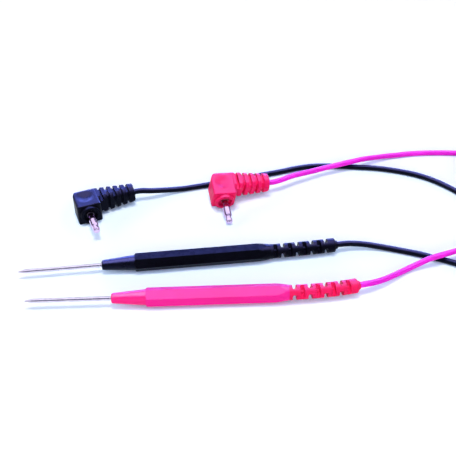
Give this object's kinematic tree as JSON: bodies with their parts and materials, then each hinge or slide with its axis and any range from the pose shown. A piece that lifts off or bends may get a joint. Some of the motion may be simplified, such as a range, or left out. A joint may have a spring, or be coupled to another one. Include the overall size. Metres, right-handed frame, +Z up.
{
  "type": "multimeter_test_leads",
  "caption": "Pair of multimeter test leads, black and red: needle probes with hexagonal handles, slotted boots, coiled cords and right-angle 4 mm plugs",
  "frame": {"origin": "Middle of the flat of the black handle that rests on the surface; z = 0 is that surface.", "axes": "+X runs along the black probe from its needle to its cord. +Y runs from the probes to the plugs. +Z is up."},
  "size_m": [0.28, 0.1322, 0.0152],
  "materials": {
    "black_grip_plastic": "glossy black",
    "black_boot_rubber": "satin black",
    "black_cord_jacket": "glossy black PVC",
    "black_plug_plastic": "satin black",
    "red_grip_plastic": "glossy red-pink",
    "red_boot_rubber": "satin red-pink",
    "red_cord_jacket": "glossy magenta PVC",
    "red_plug_plastic": "satin red-pink",
    "plated_steel": "bright nickel plate",
    "plated_spring": "bright nickel plate",
    "copper": "bare copper",
    "tie": "natural nylon"
  },
  "bodies": {
    "black_lead": {"black_needle": "plated_steel", "black_nose_cone": "black_grip_plastic", "black_handle": "black_grip_plastic", "black_boot": "black_boot_rubber", "black_solder_sleeve": "copper", "black_core_wire": "copper", "black_cord_tail": "black_cord_jacket", "black_cord_probe_run": "black_cord_jacket", "black_cord_coil": "black_cord_jacket", "black_cord_plug_run": "black_cord_jacket", "black_coil_tie": "tie", "black_plug_housing": "black_plug_plastic", "black_plug_stem": "plated_steel", "black_plug_lug": "plated_steel", "black_plug_wire": "copper", "black_plug_cord_tail": "black_cord_jacket"},
    "black_spring": {"black_plug_spring": "plated_spring"},
    "red_lead": {"red_needle": "plated_steel", "red_nose_cone": "red_grip_plastic", "red_handle": "red_grip_plastic", "red_boot": "red_boot_rubber", "red_solder_sleeve": "copper", "red_core_wire": "copper", "red_cord_tail": "red_cord_jacket", "red_cord_probe_run": "red_cord_jacket", "red_cord_coil": "red_cord_jacket", "red_cord_plug_run": "red_cord_jacket", "red_coil_tie": "tie", "red_plug_housing": "red_plug_plastic", "red_plug_stem": "plated_steel", "red_plug_lug": "plated_steel", "red_plug_wire": "copper", "red_plug_cord_tail": "red_cord_jacket"},
    "red_spring": {"red_plug_spring": "plated_spring"}
  },
  "joints": [
    {"name": "red_lift", "type": "slide", "parent": "black_lead", "child": "red_lead", "axis": [0, 0, 1], "range_m": [0, 0.03]},
    {"name": "black_spring_spin", "type": "hinge", "parent": "black_lead", "child": "black_spring", "pos_m": [-0.05127, 0.02922, 0.0056], "axis": [0.247, -0.969, 0], "continuous": true},
    {"name": "red_spring_spin", "type": "hinge", "parent": "red_lead", "child": "red_spring", "pos_m": [0.01523, 0.03235, 0.00358], "axis": [0.0762, -0.95, -0.3027], "continuous": true}
  ]
}
